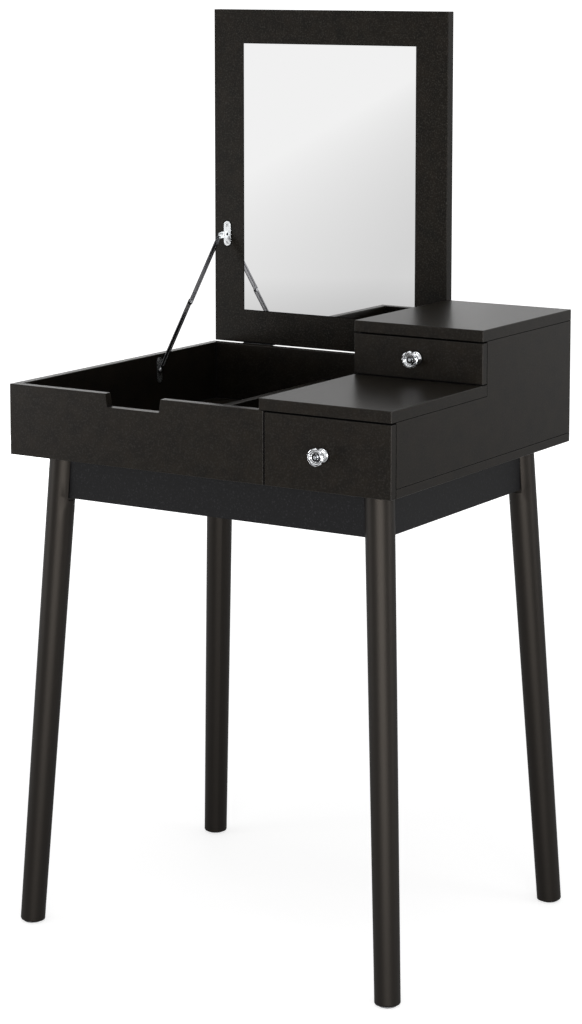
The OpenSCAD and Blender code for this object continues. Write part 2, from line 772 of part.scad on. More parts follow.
// The screw of the knob at [x, z], from inside the front into the knob's base
module knob_screw_form(face_y, knob, grow = 0) {
    translate([knob[0], face_y + board_t - back_gap, knob[1]]) rotate([90, 0, 0])
        cylinder(h = board_t + knob_base_h * 0.6 + grow, d = knob_screw_d + 2 * grow, $fn = 32);
}

// Dowels between a drawer's front and its sides
function front_dowels(box, face_y) = [for (x = [box[0].x + side_t / 2, box[1].x - side_t / 2])
    for (f = [0.25, 0.75])
        [[x, face_y + board_t - back_gap, box[0].z + f * (box[1].z - box[0].z)], ALONG_Y]];

// Screws through a drawer's sides into its back
function box_screws(box) = [for (f = [0.3, 0.75]) for (side = [0, 1])
    [[box[side].x, box[1].y - side_t / 2, box[0].z + f * (box[1].z - box[0].z)],
        side == 0 ? INTO_RIGHT : INTO_LEFT]];

module drawer_cuts(box, face_y) {
    pegs(front_dowels(box, face_y), front_dowel_r + fit, dowel_depth + fit);
    small_screw_cuts(box_screws(box));
}

// The groove that holds a drawer's bottom, as a block that is a little larger than it
module bottom_form(box, face_y, grow = 0) {
    block([box[0].x + side_t - groove_depth - grow, face_y + board_t - back_gap - groove_depth - grow,
            box[0].z + groove_z - grow],
        [box[1].x - side_t + groove_depth + grow, box[1].y - side_t + groove_depth + grow,
            box[0].z + groove_z + bottom_t + grow]);
}

module drawer_front(box, face_y, low, high, knob) difference() {
    board([low[0], face_y, low[1]], [high[0], face_y + board_t - back_gap, high[1]]);
    bottom_form(box, face_y, 0.2);
    drawer_cuts(box, face_y);
    knob_screw_form(face_y, knob, fit);
}

module drawer_side(box, face_y, side) difference() {
    x = side == 0 ? box[0].x : box[1].x - side_t;
    board([x, face_y + board_t - back_gap, box[0].z], [x + side_t, box[1].y, box[1].z], 0.4);
    bottom_form(box, face_y, 0.2);
    drawer_cuts(box, face_y);
}

module drawer_back(box, face_y) difference() {
    board([box[0].x + side_t, box[1].y - side_t, box[0].z], [box[1].x - side_t, box[1].y, box[1].z], 0.4);
    bottom_form(box, face_y, 0.2);
    drawer_cuts(box, face_y);
}

module drawer_fasteners(box, face_y, knob) {
    pegs(front_dowels(box, face_y), front_dowel_r, dowel_depth);
    small_screws(box_screws(box));
    knob_screw_form(face_y, knob);
    translate([knob[0], face_y + board_t - back_gap, knob[1]]) rotate([-90, 0, 0])
        cylinder(h = 2.4, r = knob_screw_d, $fn = 32);
}

// Places something on a front at [x, z], with +Z standing out of its face
module on_front(face_y, knob) translate([knob[0], face_y, knob[1]]) rotate([90, 0, 0]) children();

// A turned base: a broad foot, a waist and a cup under the crystal
module knob_base(face_y, knob) zinc() difference() {
    foot_r = 8.5;
    waist_r = 5;
    cup_r = 7;
    on_front(face_y, knob) rotate_extrude($fn = 64)
        polygon([[0, 0], [foot_r, 0], [foot_r, 1], [foot_r - 0.6, 1.6], [foot_r - 1.6, 1.6],
            [waist_r + 0.6, 3.4], [waist_r, 4.4], [waist_r, knob_base_h - 2.4],
            [cup_r, knob_base_h - 1], [cup_r, knob_base_h], [0, knob_base_h]]);
    knob_screw_form(face_y, knob, fit);
}

// An eight-sided crystal: a flared back, a narrow girdle and a bevelled face
module knob_crystal(face_y, knob) color([0.85, 0.88, 0.9]) {
    r = crystal_d / 2;
    girdle = 1.4;
    bevel = 5;
    girdle_h = knob_out - bevel - girdle;
    on_front(face_y, knob) {
        translate([0, 0, knob_base_h])
            cylinder(h = girdle_h - knob_base_h, r1 = r * 0.6, r2 = r, $fn = 8);
        translate([0, 0, girdle_h]) cylinder(h = girdle, r = r, $fn = 8);
        translate([0, 0, girdle_h + girdle]) cylinder(h = bevel, r1 = r, r2 = r * 0.55, $fn = 8);
    }
}

// C-shaped channels on both sides of the drawer's opening
module runner_channels() zinc() {
    inner = rail_h / 2 + run_gap;
    outer = inner + channel_t;
    lip = runner_w - 2;
    for (s = [0, 1]) {
        wall_x = s == 0 ? drawer_left_x : drawer_right_x;
        turn = s == 0 ? 1 : -1;
        translate([wall_x, runner_y, runner_z]) difference() {
            translate([s == 0 ? 0 : -lip, 0, -outer]) cube([lip, runner_l, 2 * outer]);
            translate([s == 0 ? channel_t : -lip - eps, -eps, -inner])
                cube([lip - channel_t + eps, runner_l + 2 * eps, 2 * inner]);
            translate([-wall_x, -runner_y, -runner_z]) small_screw_cuts(HARDWARE_CASE);
        }
    }
}

// Rails on the drawer's sides, which run in the channels
module lower_drawer_rails() color([0.75, 0.75, 0.74]) {
    z0 = runner_z - rail_h / 2;
    z1 = runner_z + rail_h / 2;
    y0 = runner_y + 2;
    y1 = runner_y + runner_l - 6;
    depth = runner_w - channel_t - 1;
    board([lower_box[0].x - depth, y0, z0], [lower_box[0].x, y1, z1], 0.8);
    board([lower_box[1].x, y0, z0], [lower_box[1].x + depth, y1, z1], 0.8);
}

module lower_drawer_front() black_board() drawer_front(lower_box, front_y,
    [front_split_x + front_gap / 2, under_z], [right_x, rim_z - front_gap], lower_knob);
module lower_drawer_left_side() black_board() drawer_side(lower_box, front_y, 0);
module lower_drawer_right_side() black_board() drawer_side(lower_box, front_y, 1);
module lower_drawer_back() black_board() drawer_back(lower_box, front_y);
module lower_drawer_bottom() black_board() bottom_form(lower_box, front_y);
module lower_drawer_fasteners() zinc() drawer_fasteners(lower_box, front_y, lower_knob);
module lower_knob_base() knob_base(front_y, lower_knob);
module lower_knob_crystal() knob_crystal(front_y, lower_knob);

module upper_drawer_front() black_board() drawer_front(upper_box, box_front_y,
    [slab_x, top_h + front_gap / 2], [right_x, box_top_z - front_gap], upper_knob);
module upper_drawer_left_side() black_board() drawer_side(upper_box, box_front_y, 0);
module upper_drawer_right_side() black_board() drawer_side(upper_box, box_front_y, 1);
module upper_drawer_back() black_board() drawer_back(upper_box, box_front_y);
module upper_drawer_bottom() black_board() bottom_form(upper_box, box_front_y);
module upper_drawer_fasteners() zinc() drawer_fasteners(upper_box, box_front_y, upper_knob);
module upper_knob_base() knob_base(box_front_y, upper_knob);
module upper_knob_crystal() knob_crystal(box_front_y, upper_knob);

// ---- Every sub-part ----

bottom_board();
left_side_panel();
right_side_panel();
divider_panel();
back_panel();
front_left_panel();
tray_divider();
lower_top();
box_left_wall();
upper_top();
apron_front();
apron_back();
apron_left();
apron_right();
leg_front_left();
leg_front_right();
leg_rear_right();
leg_rear_left();
foot_glides();
corner_brackets();
leg_bolts();
leg_nuts();
bracket_screws();
apron_dowels();
case_screws();
case_dowels();
hinge_case_leaves();
hinge_pins();
hardware_screws_case();
stay_base_bracket();
runner_channels();
lid_board();
mirror_glass();
mirror_tape();
hinge_lid_leaves();
hardware_screws_lid();
stay_lid_bracket();
stay_lid_rivet();
stay_upper_arm();
stay_mid_rivet();
stay_lower_arm();
stay_base_rivet();
lower_drawer_front();
lower_drawer_left_side();
lower_drawer_right_side();
lower_drawer_back();
lower_drawer_bottom();
lower_drawer_rails();
lower_knob_base();
lower_knob_crystal();
lower_drawer_fasteners();
upper_drawer_front();
upper_drawer_left_side();
upper_drawer_right_side();
upper_drawer_back();
upper_drawer_bottom();
upper_knob_base();
upper_knob_crystal();
upper_drawer_fasteners();
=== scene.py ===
"""The looks of a flip top vanity table: finishes, cross-head screws, cut crystals, studio and camera.

Metres, in the frame of the CAD model: +X to the right, -Y to the front, +Z up, floor at zero.
"""
import json
import math

import bmesh
import bpy
import numpy as np
from mathutils import Euler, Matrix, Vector


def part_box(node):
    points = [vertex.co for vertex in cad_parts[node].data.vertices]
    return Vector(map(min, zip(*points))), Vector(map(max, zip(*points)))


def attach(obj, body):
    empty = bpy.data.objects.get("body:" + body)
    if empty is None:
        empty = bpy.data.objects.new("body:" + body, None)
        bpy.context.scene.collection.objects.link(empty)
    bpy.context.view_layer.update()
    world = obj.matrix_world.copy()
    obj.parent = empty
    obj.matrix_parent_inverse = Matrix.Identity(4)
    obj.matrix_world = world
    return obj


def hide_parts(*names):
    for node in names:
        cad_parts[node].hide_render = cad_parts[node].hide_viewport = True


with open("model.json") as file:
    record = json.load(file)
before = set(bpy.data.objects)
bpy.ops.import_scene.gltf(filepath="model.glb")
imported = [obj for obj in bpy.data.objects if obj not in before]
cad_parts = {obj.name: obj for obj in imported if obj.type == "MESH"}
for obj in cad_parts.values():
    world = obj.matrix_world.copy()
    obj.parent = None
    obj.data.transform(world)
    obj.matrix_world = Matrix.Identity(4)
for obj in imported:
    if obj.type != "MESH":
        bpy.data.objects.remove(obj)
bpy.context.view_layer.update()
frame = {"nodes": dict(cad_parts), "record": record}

MM = 0.001
NODES = frame["nodes"]


def linear(code):
    """Turns an sRGB hex value into a linear colour with full alpha."""
    parts = [int(code[i:i + 2], 16) / 255 for i in (1, 3, 5)]
    return (*[p / 12.92 if p <= 0.04045 else ((p + 0.055) / 1.055) ** 2.4 for p in parts], 1.0)


def add(tree, kind, inputs=None, **settings):
    """Adds a node, sets its properties, and fills or links its inputs."""
    made = tree.nodes.new(kind)
    for name, value in settings.items():
        setattr(made, name, value)
    for name, value in (inputs or {}).items():
        if isinstance(value, bpy.types.NodeSocket):
            tree.links.new(value, made.inputs[name])
        else:
            made.inputs[name].default_value = value
    return made


def new_material(name):
    """A material with an empty node tree, and that tree."""
    made = bpy.data.materials.new(name)
    made.use_nodes = True
    made.node_tree.nodes.clear()
    return made, made.node_tree


# ---- Finishes ----

def surface(tree, inputs):
    """Ends a finish in a Principled BSDF with these inputs."""
    shader = add(tree, "ShaderNodeBsdfPrincipled", inputs)
    add(tree, "ShaderNodeOutputMaterial", {"Surface": shader.outputs["BSDF"]})


def edge_mask(tree, rounded, on_edge, on_flat):
    """1 along the edges, and 0 on the flats.

    The two limits are cosines of the angle between the rounded normal and the face's own.
    """
    geometry = add(tree, "ShaderNodeNewGeometry")
    same = add(tree, "ShaderNodeVectorMath",
               {0: rounded.outputs["Normal"], 1: geometry.outputs["Normal"]}, operation="DOT_PRODUCT")
    return add(tree, "ShaderNodeMapRange",
               {"Value": same.outputs["Value"], "From Min": on_flat, "From Max": on_edge})


def melamine_board(name, body, edge, glint, gloss):
    """Melamine-faced chipboard, pressed against a pebbled plate: matt black with a fine, uneven sparkle of
    painted glints.

    The real pebbles are about 0.4 mm across. They are drawn at 1.6 mm so that they show at all.
    The pits trap most of the gloss, so the specular level is low. The black paper is a little brown.
    """
    pebble_mm = 1.6
    pebble_height_mm = 0.12
    speck_mm = 2.0
    cloud_mm = 22
    rounding_mm = 0.9
    seam_mm = 3.0
    rough_in_seam = 1.0
    rough_on_face = 0.32
    made, tree = new_material(name)
    place = add(tree, "ShaderNodeTexCoord").outputs["Object"]
    pebble = add(tree, "ShaderNodeTexNoise",
                 {"Vector": place, "Scale": 1 / (pebble_mm * MM), "Detail": 3.0, "Roughness": 0.6})
    cloud = add(tree, "ShaderNodeTexNoise",
                {"Vector": place, "Scale": 1 / (cloud_mm * MM), "Detail": 5.0, "Roughness": 0.6})
    mottle = add(tree, "ShaderNodeMapRange",
                 {"Value": cloud.outputs["Fac"], "From Min": 0.32, "From Max": 0.68})
    # Painted glints: lighter specks, scattered at random, stand in for the pebbles' sparkle.
    specks = add(tree, "ShaderNodeTexNoise",
                 {"Vector": place, "Scale": 1 / (speck_mm * MM), "Detail": 1.0, "Roughness": 0.4})
    glint_mask = add(tree, "ShaderNodeMapRange",
                     {"Value": specks.outputs["Fac"], "From Min": 0.50, "From Max": 0.74})
    rounded = add(tree, "ShaderNodeBevel", {"Radius": rounding_mm * MM}, samples=4)
    edges = edge_mask(tree, rounded, on_edge=0.90, on_flat=0.995)
    ground = add(tree, "ShaderNodeMixRGB",
                 {"Fac": mottle.outputs["Result"], "Color1": linear(body[0]), "Color2": linear(body[1])})
    glinted = add(tree, "ShaderNodeMixRGB",
                  {"Fac": glint_mask.outputs["Result"], "Color1": ground.outputs["Color"],
                   "Color2": linear(glint)})
    # The edges are lighter: partly lighter edge banding, partly a painted highlight along them.
    coloured = add(tree, "ShaderNodeMixRGB",
                   {"Fac": edges.outputs["Result"], "Color1": glinted.outputs["Color"],
                    "Color2": linear(edge)})
    # 1 on an open face, and less towards a seam between two boards; there the colour is painted shade,
    # near black, and the finish dull.
    openness = add(tree, "ShaderNodeAmbientOcclusion", {"Distance": seam_mm * MM}, samples=6)
    clear = add(tree, "ShaderNodeMapRange",
                {"Value": openness.outputs["AO"], "From Min": 0.82, "From Max": 0.99})
    shaded = add(tree, "ShaderNodeMixRGB",
                 {"Fac": clear.outputs["Result"], "Color1": linear("#020202"),
                  "Color2": coloured.outputs["Color"]})
    matt = add(tree, "ShaderNodeMapRange",
               {"Value": clear.outputs["Result"], "To Min": rough_in_seam, "To Max": rough_on_face})
    bump = add(tree, "ShaderNodeBump",
               {"Strength": 0.5, "Distance": pebble_height_mm * MM, "Height": pebble.outputs["Fac"],
                "Normal": rounded.outputs["Normal"]})
    surface(tree, {"Base Color": shaded.outputs["Color"], "Roughness": matt.outputs["Result"],
                   "Specular IOR Level": gloss, "Specular Tint": linear("#fffbf7"),
                   "Normal": bump.outputs["Normal"]})
    return made


def painted_board(name, body, glint):
    """Board sprayed with black paint: flat and even, with an orange peel that sparkles here and there, in
    painted glints on its crests.

    The real peel is finer. It is drawn at 2.4 mm so that it shows at all.
    """
    peel_mm = 2.4
    peel_height_mm = 0.12
    rounding_mm = 0.8
    made, tree = new_material(name)
    place = add(tree, "ShaderNodeTexCoord").outputs["Object"]
    peel = add(tree, "ShaderNodeTexNoise",
               {"Vector": place, "Scale": 1 / (peel_mm * MM), "Detail": 2.0, "Roughness": 0.5})
    rounded = add(tree, "ShaderNodeBevel", {"Radius": rounding_mm * MM}, samples=4)
    ground = add(tree, "ShaderNodeMixRGB",
                 {"Fac": peel.outputs["Fac"], "Color1": linear(body[0]), "Color2": linear(body[1])})
    # Painted glints: the crests of the peel are lighter.
    sparkle = add(tree, "ShaderNodeMapRange",
                  {"Value": peel.outputs["Fac"], "From Min": 0.58, "From Max": 0.72})
    glinted = add(tree, "ShaderNodeMixRGB",
                  {"Fac": sparkle.outputs["Result"], "Color1": ground.outputs["Color"],
                   "Color2": linear(glint)})
    bump = add(tree, "ShaderNodeBump",
               {"Strength": 0.6, "Distance": peel_height_mm * MM, "Height": peel.outputs["Fac"],
                "Normal": rounded.outputs["Normal"]})
    surface(tree, {"Base Color": glinted.outputs["Color"], "Roughness": 0.5,
                   "Specular IOR Level": 0.16, "Normal": bump.outputs["Normal"]})
    return made


def lacquered_leg(name, body):
    """Turned rubberwood under black lacquer: a satin skin with the grain's pores just showing through.

    The real pores are much finer. They are drawn at 2.2 mm so that they show at all, and 25 times as
    long as they are wide. The lacquer is thin, so the wood warms its shine.
    """
    pore_mm = 2.2
    pore_length = 25
    pore_depth_mm = 0.12
    cloud_mm = 9
    rounding_mm = 0.8
    made, tree = new_material(name)
    place = add(tree, "ShaderNodeTexCoord").outputs["Object"]
    along = add(tree, "ShaderNodeMapping", {"Vector": place, "Scale": (1.0, 1.0, 1 / pore_length)})
    pores = add(tree, "ShaderNodeTexNoise",
                {"Vector": along.outputs["Vector"], "Scale": 1 / (pore_mm * MM), "Detail": 3.0,
                 "Roughness": 0.6})
    clouds = add(tree, "ShaderNodeTexNoise",
                 {"Vector": along.outputs["Vector"], "Scale": 1 / (cloud_mm * MM), "Detail": 1.0})
    ground = add(tree, "ShaderNodeMixRGB",
                 {"Fac": clouds.outputs["Fac"], "Color1": linear(body[0]), "Color2": linear(body[1])})
    rounded = add(tree, "ShaderNodeBevel", {"Radius": rounding_mm * MM}, samples=4)
    bump = add(tree, "ShaderNodeBump",
               {"Strength": 0.25, "Distance": pore_depth_mm * MM, "Height": pores.outputs["Fac"],
                "Normal": rounded.outputs["Normal"]})
    surface(tree, {"Base Color": ground.outputs["Color"], "Roughness": 0.45,
                   "Specular IOR Level": 0.28, "Specular Tint": linear("#fff2e4"),
                   "Normal": bump.outputs["Normal"]})
    return made


def plated_metal(name, body, edge, rough):
    """Plated, coated or blackened sheet metal: fine scratches, edges bright with wear and a painted
    highlight, painted shade in recesses.

    The real scratches are finer. They are drawn at 0.8 mm so that they show at all.
    """
    scratch_mm = 0.8
    wear_and_sheen_mm = 0.3
    recess_mm = 0.8
    made, tree = new_material(name)
    place = add(tree, "ShaderNodeTexCoord").outputs["Object"]
    scratch = add(tree, "ShaderNodeTexNoise",
                  {"Vector": place, "Scale": 1 / (scratch_mm * MM), "Detail": 4.0, "Roughness": 0.7})
    rounded = add(tree, "ShaderNodeBevel", {"Radius": wear_and_sheen_mm * MM}, samples=8)
    edges = edge_mask(tree, rounded, on_edge=0.85, on_flat=0.99)
    # The edges are brighter: partly wear, partly a painted highlight along them.
    wear_and_sheen = add(tree, "ShaderNodeMixRGB",
               {"Fac": edges.outputs["Result"], "Color1": linear(body), "Color2": linear(edge)})
    # Painted shade: the colour goes near black in recesses, round screw heads and where two parts meet.
    openness = add(tree, "ShaderNodeAmbientOcclusion", {"Distance": recess_mm * MM}, samples=6)
    recess_unshaded = add(tree, "ShaderNodeMapRange",
                {"Value": openness.outputs["AO"], "From Min": 0.35, "From Max": 0.95})
    coloured = add(tree, "ShaderNodeMixRGB",
                   {"Fac": recess_unshaded.outputs["Result"], "Color1": linear("#161616"),
                    "Color2": wear_and_sheen.outputs["Color"]})
    dull = add(tree, "ShaderNodeMapRange",
               {"Value": scratch.outputs["Fac"], "From Min": 0.3, "From Max": 0.7,
                "To Min": rough - 0.06, "To Max": rough + 0.08})
    surface(tree, {"Base Color": coloured.outputs["Color"], "Metallic": 1.0,
                   "Roughness": dull.outputs["Result"], "Normal": rounded.outputs["Normal"]})
    return made


def silvered_mirror(name):
    """Float glass with a silver back: a clear and neutral reflection that loses next to nothing."""
    made, tree = new_material(name)
    surface(tree, {"Base Color": linear("#f5f5f5"), "Metallic": 1.0, "Roughness": 0.008})
    return made


def chrome_plate(name):
    """Polished chrome on a turned base: a hard, nearly white mirror."""
    rounding_mm = 0.25
    made, tree = new_material(name)
    rounded = add(tree, "ShaderNodeBevel", {"Radius": rounding_mm * MM}, samples=4)
    surface(tree, {"Base Color": linear("#e4e6e8"), "Metallic": 1.0, "Roughness": 0.07,
                   "Normal": rounded.outputs["Normal"]})
    return made


def cut_crystal(name):
    """Pressed and polished crystal glass: water-clear, with hard sparkles on its facets."""
    made, tree = new_material(name)
    surface(tree, {"Base Color": linear("#fafcff"), "Roughness": 0.0, "IOR": 1.56,
                   "Transmission Weight": 1.0})
    return made


def silver_foil(name):
    """Silver foil on the back of the crystal: a bright, slightly blurred reflection that loses nothing."""
    made, tree = new_material(name)
    surface(tree, {"Base Color": linear("#ffffff"), "Metallic": 1.0, "Roughness": 0.18})
    return made


def moulded_plastic(name, body, rough):
    """Moulded nylon, or foamed polythene: even, with a soft grain in its skin.

    The real grain is finer. It is drawn at 0.9 mm so that it shows at all.
    """
    grain_mm = 0.9
    grain_height_mm = 0.05
    made, tree = new_material(name)
    place = add(tree, "ShaderNodeTexCoord").outputs["Object"]
    grain = add(tree, "ShaderNodeTexNoise",
                {"Vector": place, "Scale": 1 / (grain_mm * MM), "Detail": 2.0})
    tone = add(tree, "ShaderNodeMixRGB",
               {"Fac": grain.outputs["Fac"], "Color1": linear(body[0]), "Color2": linear(body[1])})
    bump = add(tree, "ShaderNodeBump",
               {"Strength": 0.2, "Distance": grain_height_mm * MM, "Height": grain.outputs["Fac"]})
    surface(tree, {"Base Color": tone.outputs["Color"], "Roughness": rough,
                   "Normal": bump.outputs["Normal"]})
    return made


def bare_beech(name):
    """Plain beech dowel stock, unfinished: pale pinkish brown with dark flecks, about 1.5 mm long."""
    fleck_mm = 1.5
    made, tree = new_material(name)
    place = add(tree, "ShaderNodeTexCoord").outputs["Object"]
    grain = add(tree, "ShaderNodeTexNoise",
                {"Vector": place, "Scale": 1 / (fleck_mm * MM), "Detail": 3.0, "Roughness": 0.6})
    tone = add(tree, "ShaderNodeMixRGB",
               {"Fac": grain.outputs["Fac"], "Color1": linear("#b98f62"), "Color2": linear("#d9b78a")})
    surface(tree, {"Base Color": tone.outputs["Color"], "Roughness": 0.7})
    return made


FINISHES = {
    "black_melamine": melamine_board("pebbled_black_melamine", body=("#0b0907", "#16120d"),
                                     edge="#2a2825", glint="#201e1b", gloss=0.158),
    "lid_melamine": melamine_board("coarse_black_melamine", body=("#080705", "#16120d"),
                                   edge="#22201d", glint="#292723", gloss=0.105),
    "black_lacquer": lacquered_leg("satin_black_lacquer", body=("#070606", "#0b0a0a")),
    "black_paint": painted_board("sprayed_black_paint", body=("#0c0c0d", "#111113"), glint="#232325"),
    "beech": bare_beech("bare_beech"),
    "zinc_steel": plated_metal("bright_zinc_plate", body="#b0b2b3", edge="#d8dadb", rough=0.26),
    "dark_steel": plated_metal("blackened_steel", body="#343436", edge="#8e8e90", rough=0.34),
    "runner_steel": plated_metal("grey_epoxy_coated_steel", body="#6d6e70", edge="#86878a",
                                 rough=0.42),
    "mirror": silvered_mirror("silvered_float_glass"),
    "tape": moulded_plastic("foam_tape", body=("#dcdad2", "#e6e4dd"), rough=0.8),
    "chrome": chrome_plate("polished_chrome"),
    "crystal": cut_crystal("cut_crystal_glass"),
    "foil": silver_foil("silver_foil"),
    "socket": plated_metal("blackened_steel_socket", body="#26262a", edge="#505055", rough=0.22),
    "glide": moulded_plastic("grey_nylon_glide", body=("#8d8d8f", "#9a9a9c"), rough=0.5),
}


def dress_cad_nodes():
    """Gives every CAD node the finish of its own material slot, but for two.

    The lid's board is pressed more coarsely, and the stay's middle rivet is as dull as its arms.
    """
    own_finish = {"lid_board": "lid_melamine", "stay_mid_rivet": "runner_steel"}
    for part in frame["record"]["subparts"]:
        node = NODES[part["node"]]
        finish = own_finish.get(part["node"], part["material_slot"])
        node.data.materials.clear()
        node.data.materials.append(FINISHES[finish])


# ---- Cut crystals on the knobs ----

def round_rings(points, *rows):
    """Unturned rings of so many points each, from rows of (share of the radius, millimetres out)."""
    return [(share, out, points, 0.0) for share, out in rows]


# The pieces of a knob's crystal: finish, material slot, whether its rings close to a thin shell, and the
# rings. A ring is a share of the crystal's radius, millimetres out from its back, points, and turn.
KNOB_PIECES = {
    # Back, pavilion, both rims of the girdle, two rows of crown facets, and the table.
    "cut_crystal": ("crystal", "crystal", False,
                    [(0.60, 0.2, 16, 0.0), (0.98, 7.2, 8, 0.0), (0.999, 7.8, 8, 0.0),
                     (0.999, 8.8, 8, 0.0), (0.86, 11.2, 8, 22.5), (0.66, 13.4, 8, 0.0),
                     (0.60, 13.9, 8, 0.0)]),
    # Behind the pavilion, and turned in over its edge.
    "foil": ("foil", "chrome", True,
             round_rings(16, (0.62, 1.2), (0.92, 7.2), (0.89, 7.9), (0.70, 9.6), (0.66, 9.3),
                         (0.61, 4.0), (0.60, 1.2))),
    "collar": ("foil", "chrome", True,
               round_rings(48, (0.57, 1.0), (0.57, 4.4), (0.53, 5.0), (0.46, 5.1), (0.43, 4.6),
                           (0.43, 1.0))),
    "screw_end": ("socket", "dark_steel", False,
                  round_rings(48, (0.41, 0.8), (0.41, 2.4), (0.37, 3.4), (0.28, 4.2), (0.16, 4.7),
                              (0.05, 4.8))),
    "setting": ("socket", "dark_steel", True,
                round_rings(48, (0.79, 9.2), (0.79, 9.5), (0.755, 9.9), (0.755, 9.6))),
    "pin": ("chrome", "chrome", True,
            round_rings(24, (0.08, 1.0), (0.08, 4.9), (0.19, 5.1), (0.19, 5.6), (0.16, 5.9),
                        (0.03, 5.9), (0.03, 1.0))),
}


def rings_mesh(name, back, radius, rings, closed):
    """A piece turned or cut round a knob's axis, through rings as in KNOB_PIECES.

    A closed one joins its last ring to its first, as a thin shell; the other is the hull of its rings.
    """
    merge_degrees = 0.5
    mesh = bmesh.new()
    loops = []
    for share, out, count, turn in rings:
        reach = share * radius
        angles = [math.radians(turn) + math.tau * i / count for i in range(count)]
        loops.append([mesh.verts.new((back.x + reach * math.cos(a), back.y - out * MM,
                                      back.z + reach * math.sin(a))) for a in angles])
    if closed:
        for here, after in zip(loops, loops[1:] + loops[:1]):
            for i in range(len(here)):
                k = (i + 1) % len(here)
                mesh.faces.new((here[i], here[k], after[k], after[i]))
    else:
        bmesh.ops.convex_hull(mesh, input=mesh.verts)
        bmesh.ops.delete(mesh, geom=[v for v in mesh.verts if not v.link_faces], context="VERTS")
        bmesh.ops.dissolve_limit(mesh, angle_limit=math.radians(merge_degrees),
                                 verts=mesh.verts, edges=mesh.edges)
    bmesh.ops.recalc_face_normals(mesh, faces=mesh.faces)
    data = bpy.data.meshes.new(name)
    mesh.to_mesh(data)
    mesh.free()
    piece = bpy.data.objects.new(name, data)
    bpy.context.scene.collection.objects.link(piece)
    return piece


def cut_crystals():
    """Each crystal is an eight-sided brilliant: pavilion, girdle, two rows of crown facets and a table.

    A silver foil behind the pavilion gives the bright rim. A dark line runs round inside it, where the
    setting ends. The end of the knob's screw shows through the table as a dark eye, with a bright spot
    where a polished hollow pin is rolled over it.
    """
    for drawer in ("lower", "upper"):
        low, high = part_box(f"{drawer}_knob_crystal")
        radius = (high[0] - low[0]) / 2
        back = Vector(((low[0] + high[0]) / 2, high[1], (low[2] + high[2]) / 2))
        for part, (finish, slot, closed, rings) in KNOB_PIECES.items():
            piece = rings_mesh(f"{drawer}_knob_{part}", back, radius, rings, closed)
            piece.data.materials.append(FINISHES[finish])
            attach(piece, f"{drawer}_drawer")
            if part == "cut_crystal":
                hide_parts(f"{drawer}_knob_crystal")


# ---- Cross-head screws ----

SHANK_BY_HEAD = 0.5         # radius of the shank, by the head's
TIP_BY_SHANK = 2.0          # length of the tip, by the shank's radius
RECESS_BY_HEAD = 1.3        # length of each bar of the recess, by the head's radius
BAR_WIDTH = 0.28            # width of a bar, by its length
BAR_HEIGHT = 0.5            # height of a bar, by its length; half of it lies in the head
TURN_SEED = 7               # for how far each screw is turned


def lowered_cone(tree, sides, top, bottom, depth, drop):
    """A cone that starts at a drop below the origin and rises by its depth."""
    cone = add(tree, "GeometryNodeMeshCone",
               {"Vertices": sides, "Radius Top": top, "Radius Bottom": bottom, "Depth": depth})
    down = add(tree, "ShaderNodeMath", {0: drop, 1: -1.0}, operation="MULTIPLY")
    base = add(tree, "ShaderNodeCombineXYZ", {"Z": down.outputs["Value"]})
    return add(tree, "GeometryNodeTransform",
               {"Geometry": cone.outputs["Mesh"], "Translation": base.outputs["Vector"]})


